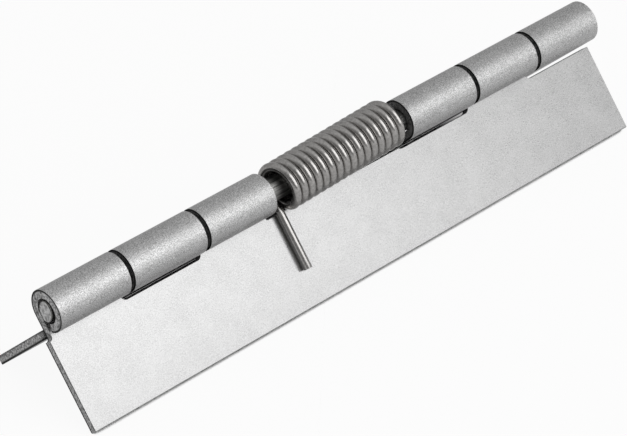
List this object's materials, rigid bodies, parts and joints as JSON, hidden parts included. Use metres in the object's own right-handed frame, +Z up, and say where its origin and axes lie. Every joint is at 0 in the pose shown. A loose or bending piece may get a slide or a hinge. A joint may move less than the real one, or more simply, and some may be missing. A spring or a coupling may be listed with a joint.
{
  "type": "spring hinge",
  "caption": "Self-opening spring hinge with plain rolled leaves to weld or bond on, a full-length pin and a torsion spring in the middle of the barrel.",
  "frame": {"origin": "on the surface that the hinge stands on, under the middle of the barrel", "axes": "+X along the barrel, +Z up; the front leaf slopes down towards -Y and the rear leaf towards +Y"},
  "size_m": [0.12, 0.024, 0.0218],
  "materials": {
    "leaf_steel": "satin, as rolled and tumbled",
    "pin_steel": "drawn wire, satin",
    "spring_wire": "hard drawn, smooth dark grey"
  },
  "bodies": {
    "front_leaf": {"front_leaf": "leaf_steel", "hinge_pin": "pin_steel", "torsion_spring": "spring_wire"},
    "rear_leaf": {"rear_leaf": "leaf_steel"}
  },
  "joints": [
    {"name": "leaf_swing", "type": "hinge", "parent": "front_leaf", "child": "rear_leaf", "pos_m": [0, 0, 0.01716], "axis": [1, 0, 0], "range_deg": [-2.5, 274.5], "stiffness_Nm_per_rad": 0.13, "springref_deg": -1.72, "deforming": ["torsion_spring"]}
  ]
}
